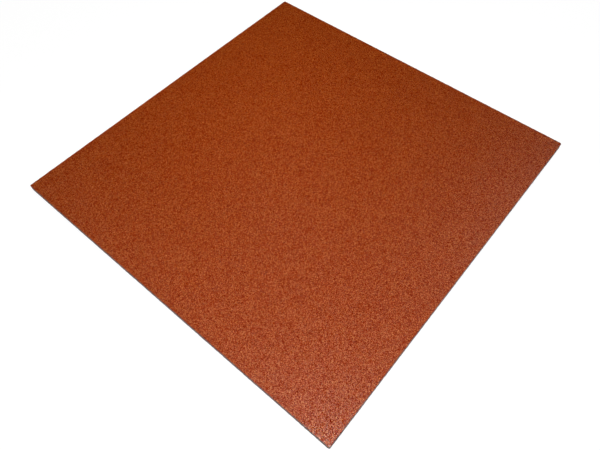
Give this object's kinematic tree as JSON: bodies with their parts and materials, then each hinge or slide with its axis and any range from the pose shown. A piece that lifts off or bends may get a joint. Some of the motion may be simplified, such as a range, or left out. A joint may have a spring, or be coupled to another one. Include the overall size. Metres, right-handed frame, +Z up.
{
  "type": "rubber floor tile",
  "caption": "Thin square floor tile of bonded terracotta crumb rubber with a fine granular surface and straight cut sides, laid flat and butted edge to edge.",
  "frame": {"origin": "centre of the underside, on the floor", "axes": "+Z up through the thickness, from the underside to the walked-on face; X and Y along the straight sides"},
  "size_m": [1, 1, 0.02],
  "materials": {
    "terracotta_rubber": "matt, fine granular crumb rubber with terracotta pigment in the binder"
  },
  "bodies": {
    "root": {"floor_tile": "terracotta_rubber"}
  },
  "joints": []
}
